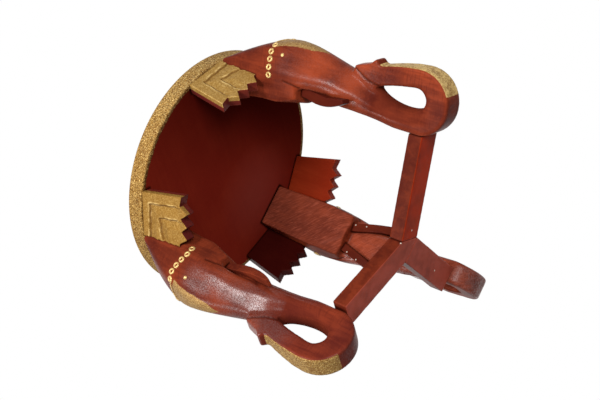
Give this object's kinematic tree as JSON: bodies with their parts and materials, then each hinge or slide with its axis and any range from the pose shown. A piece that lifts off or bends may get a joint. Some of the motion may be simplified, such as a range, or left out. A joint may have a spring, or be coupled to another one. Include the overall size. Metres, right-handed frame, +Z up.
{
  "type": "carved stool",
  "caption": "Round low stool on three carved elephant-head legs with curled trunks, joined by a Y-shaped stretcher.",
  "frame": {"origin": "on the floor under the middle of the stool's footprint box", "axes": "+Z up through the seat, -Y towards the front leg, +X towards the right-hand leg"},
  "size_m": [0.364, 0.3465, 0.32],
  "materials": {
    "lacquered_wood": "glossy dark red-brown lacquer over carved wood, gold paint on the forehead and the curled trunk end",
    "gold_ears": "gold-painted carved wood, red-brown on the back",
    "seat_wood": "dark red-brown lacquer with a gold-painted hammered rim",
    "dowel_wood": "bare turned hardwood"
  },
  "bodies": {
    "root": {"dowel_front_a": "dowel_wood", "dowel_front_b": "dowel_wood", "dowel_left_a": "dowel_wood", "dowel_left_b": "dowel_wood", "dowel_right_a": "dowel_wood", "dowel_right_b": "dowel_wood", "ear_front_a": "gold_ears", "ear_front_b": "gold_ears", "ear_left_a": "gold_ears", "ear_left_b": "gold_ears", "ear_right_a": "gold_ears", "ear_right_b": "gold_ears", "leg_front": "lacquered_wood", "leg_left": "lacquered_wood", "leg_right": "lacquered_wood", "seat": "seat_wood", "stretcher_front": "lacquered_wood", "stretcher_left": "lacquered_wood", "stretcher_right": "lacquered_wood", "tusk_front_a": "lacquered_wood", "tusk_front_b": "lacquered_wood", "tusk_left_a": "lacquered_wood", "tusk_left_b": "lacquered_wood", "tusk_right_a": "lacquered_wood", "tusk_right_b": "lacquered_wood"}
  },
  "joints": []
}
